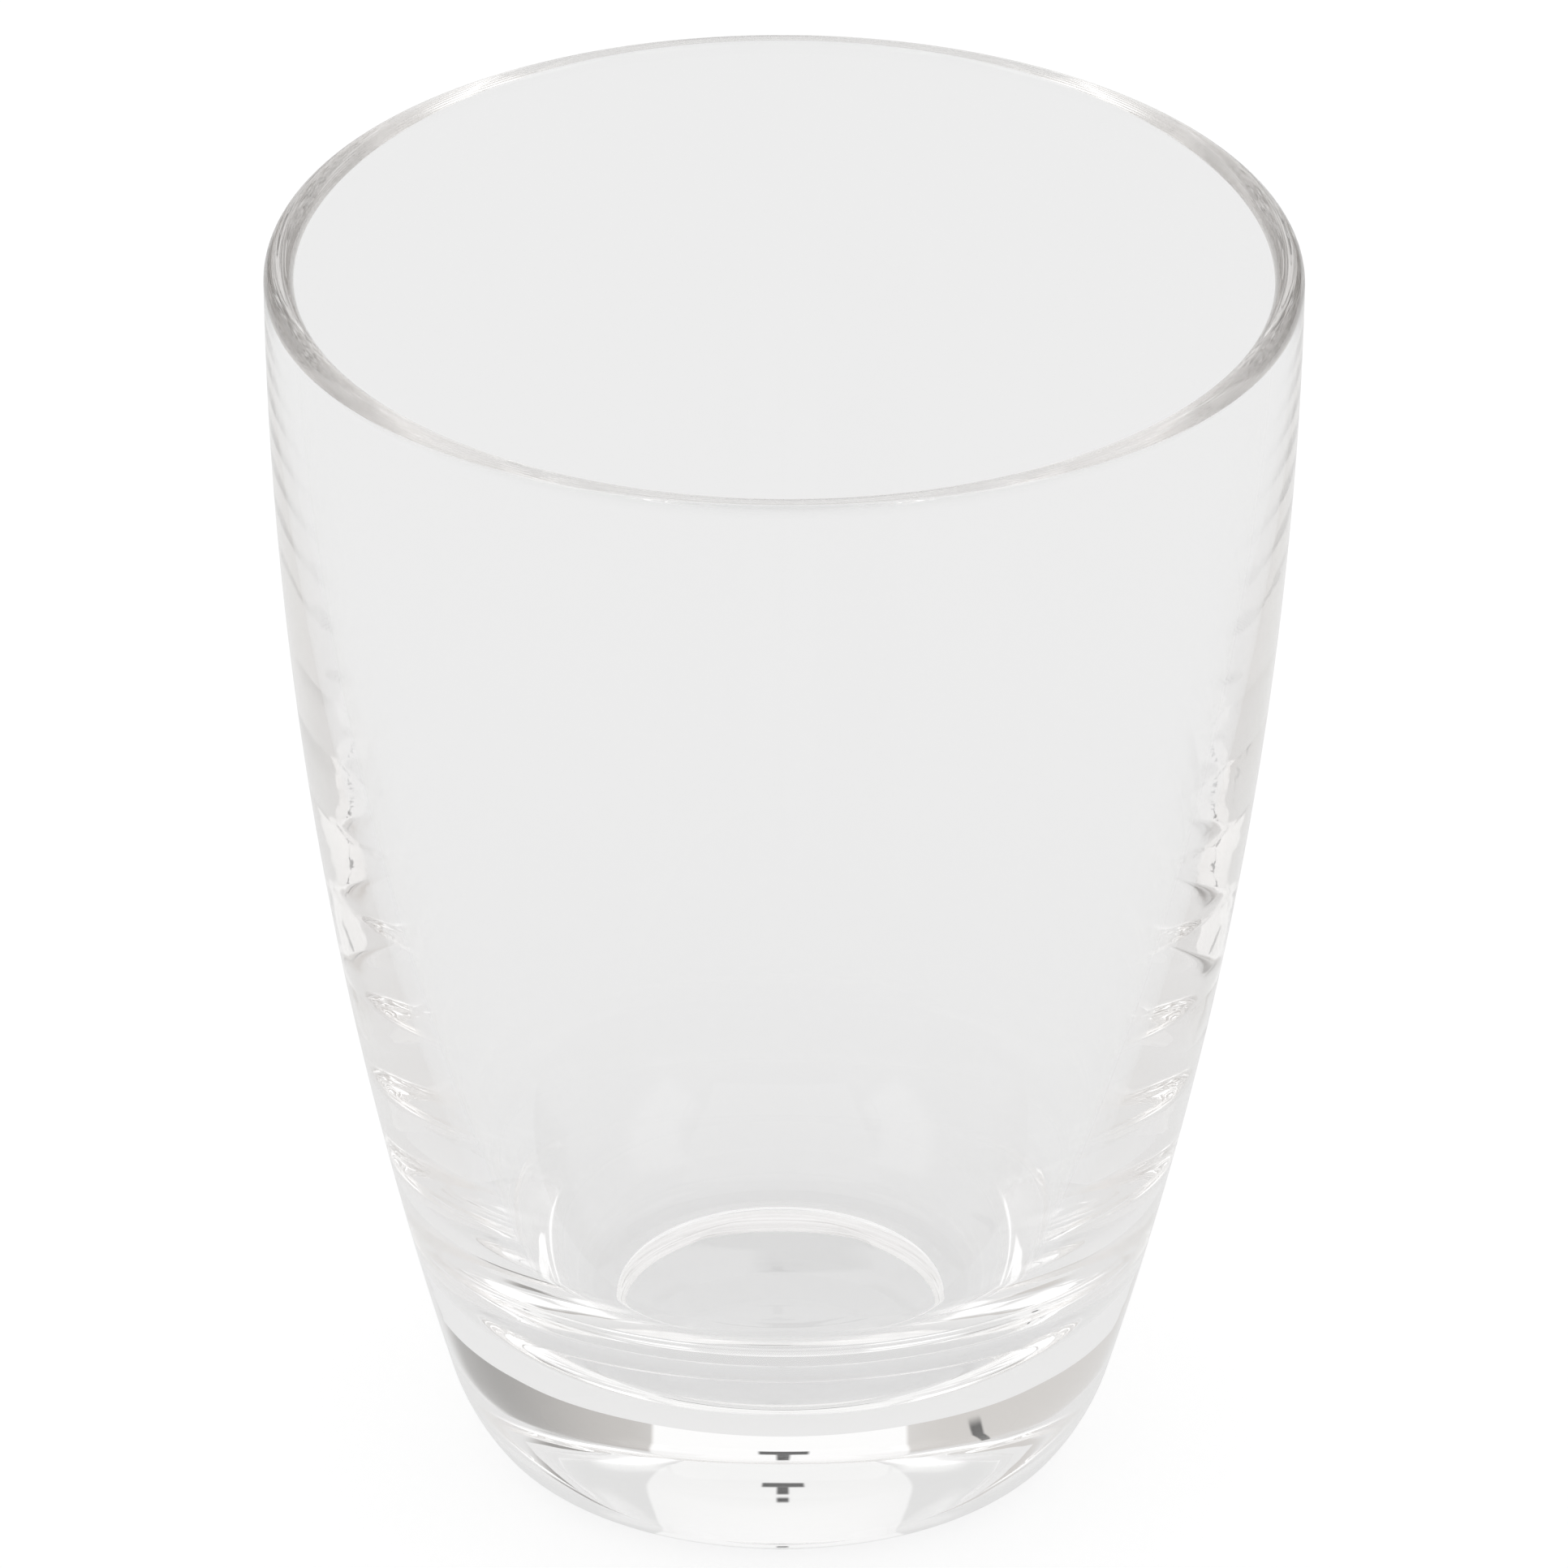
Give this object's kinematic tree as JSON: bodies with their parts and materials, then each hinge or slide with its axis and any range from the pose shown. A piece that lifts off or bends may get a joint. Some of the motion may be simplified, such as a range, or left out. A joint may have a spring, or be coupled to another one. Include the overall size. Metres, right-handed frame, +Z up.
{
  "type": "juice glass",
  "caption": "Clear drinking glass with a round rim, a wall that thickens towards a heavy base, a rounded heel and a shallow recess under the foot.",
  "frame": {"origin": "centre of the foot, on the table that the glass stands on", "axes": "+Z up along the axis of revolution, towards the mouth; X and Y are free, because the glass is round"},
  "size_m": [0.0788, 0.0788, 0.1],
  "materials": {
    "clear_glass": "fire-polished gloss"
  },
  "bodies": {
    "root": {"tumbler": "clear_glass"}
  },
  "joints": []
}
